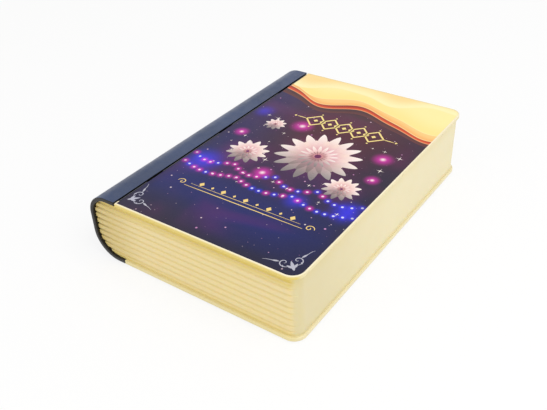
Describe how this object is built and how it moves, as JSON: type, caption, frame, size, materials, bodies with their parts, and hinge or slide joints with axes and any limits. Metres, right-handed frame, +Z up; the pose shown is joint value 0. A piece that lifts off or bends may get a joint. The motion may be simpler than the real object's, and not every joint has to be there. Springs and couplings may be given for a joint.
{
  "type": "folding book lamp",
  "caption": "Rechargeable lamp shaped like a closed book: printed cover on a hinge beside the spine, ribbed opal page block as the light body, base board, controls and USB socket at the head.",
  "frame": {"origin": "centre of the closed book's outline, on the surface that its feet rest on", "axes": "+X from the spine to the fore-edge, +Y from tail to head (along the spine), +Z up, out of the front cover"},
  "size_m": [0.111, 0.155, 0.0342],
  "materials": {
    "cream_board": "cream, semi-gloss",
    "page_plastic": "opal cream, satin",
    "spine_plastic": "navy slate, semi-gloss",
    "printed_panel": "printed, glossy",
    "liner_sheet": "matt",
    "dark_plastic": "satin",
    "dark_metal": "satin",
    "pin_steel": "drawn",
    "nickel": "plated",
    "soft_pad": "soft",
    "diffuser": "opal",
    "white_sheet": "matt white",
    "white_laminate": "solder-masked",
    "led_lens": "phosphor, clear coat",
    "green_laminate": "solder-masked",
    "black_resin": "moulded",
    "led_body": "moulded",
    "clear_rod": "polished",
    "button_plastic": "satin",
    "reed_glass": "polished",
    "cell_wrap": "shrink sleeve",
    "holder_plastic": "moulded",
    "red_wire": "insulated",
    "pale_wire": "insulated",
    "grey_wire": "insulated",
    "foot_rubber": "matt",
    "screw_steel": "zinc plated"
  },
  "bodies": {
    "lamp": {"base_board": "cream_board", "page_block": "page_plastic", "spine_shell": "spine_plastic", "hinge_leaves": "dark_metal", "hinge_pin": "pin_steel", "hinge_screws": "screw_steel", "catch_magnets": "nickel", "rest_pads": "soft_pad", "diffuser_sheet": "diffuser", "reflector_sheet": "white_sheet", "led_board": "white_laminate", "leds": "led_lens", "led_board_screws": "screw_steel", "control_board": "green_laminate", "control_board_screws": "screw_steel", "board_chips": "black_resin", "usb_socket": "nickel", "charge_led": "led_body", "light_pipe": "clear_rod", "port_plate": "dark_plastic", "switch_body": "black_resin", "button_board": "green_laminate", "button_board_screws": "screw_steel", "tact_switches": "black_resin", "reed_switch": "reed_glass", "battery_cell": "cell_wrap", "battery_holder": "holder_plastic", "battery_contacts": "nickel", "holder_screws": "screw_steel", "battery_lead": "red_wire", "led_lead": "pale_wire", "button_lead": "grey_wire", "rubber_feet": "foot_rubber", "case_screws": "screw_steel", "spine_screws": "screw_steel"},
    "cover": {"cover_board": "cream_board", "cover_panel": "printed_panel", "cover_liner": "liner_sheet", "cover_rail": "dark_plastic", "cover_magnets": "nickel"},
    "mode_button": {"mode_button": "button_plastic"},
    "dimmer_button": {"dimmer_button": "button_plastic"},
    "switch_knob": {"switch_knob": "button_plastic"}
  },
  "joints": [
    {"name": "cover_hinge", "type": "hinge", "parent": "lamp", "child": "cover", "pos_m": [-0.03755, 0, 0.03325], "axis": [0, -1, 0], "range_deg": [0, 100]},
    {"name": "mode_press", "type": "slide", "parent": "lamp", "child": "mode_button", "axis": [0, 0, -1], "range_m": [0, 0.0006], "stiffness_N_per_m": 2000, "springref_m": -0.0002},
    {"name": "dimmer_press", "type": "slide", "parent": "lamp", "child": "dimmer_button", "axis": [0, 0, -1], "range_m": [0, 0.0006], "stiffness_N_per_m": 2000, "springref_m": -0.0002},
    {"name": "power_slide", "type": "slide", "parent": "lamp", "child": "switch_knob", "axis": [1, 0, 0], "range_m": [0, 0.0025]}
  ]
}
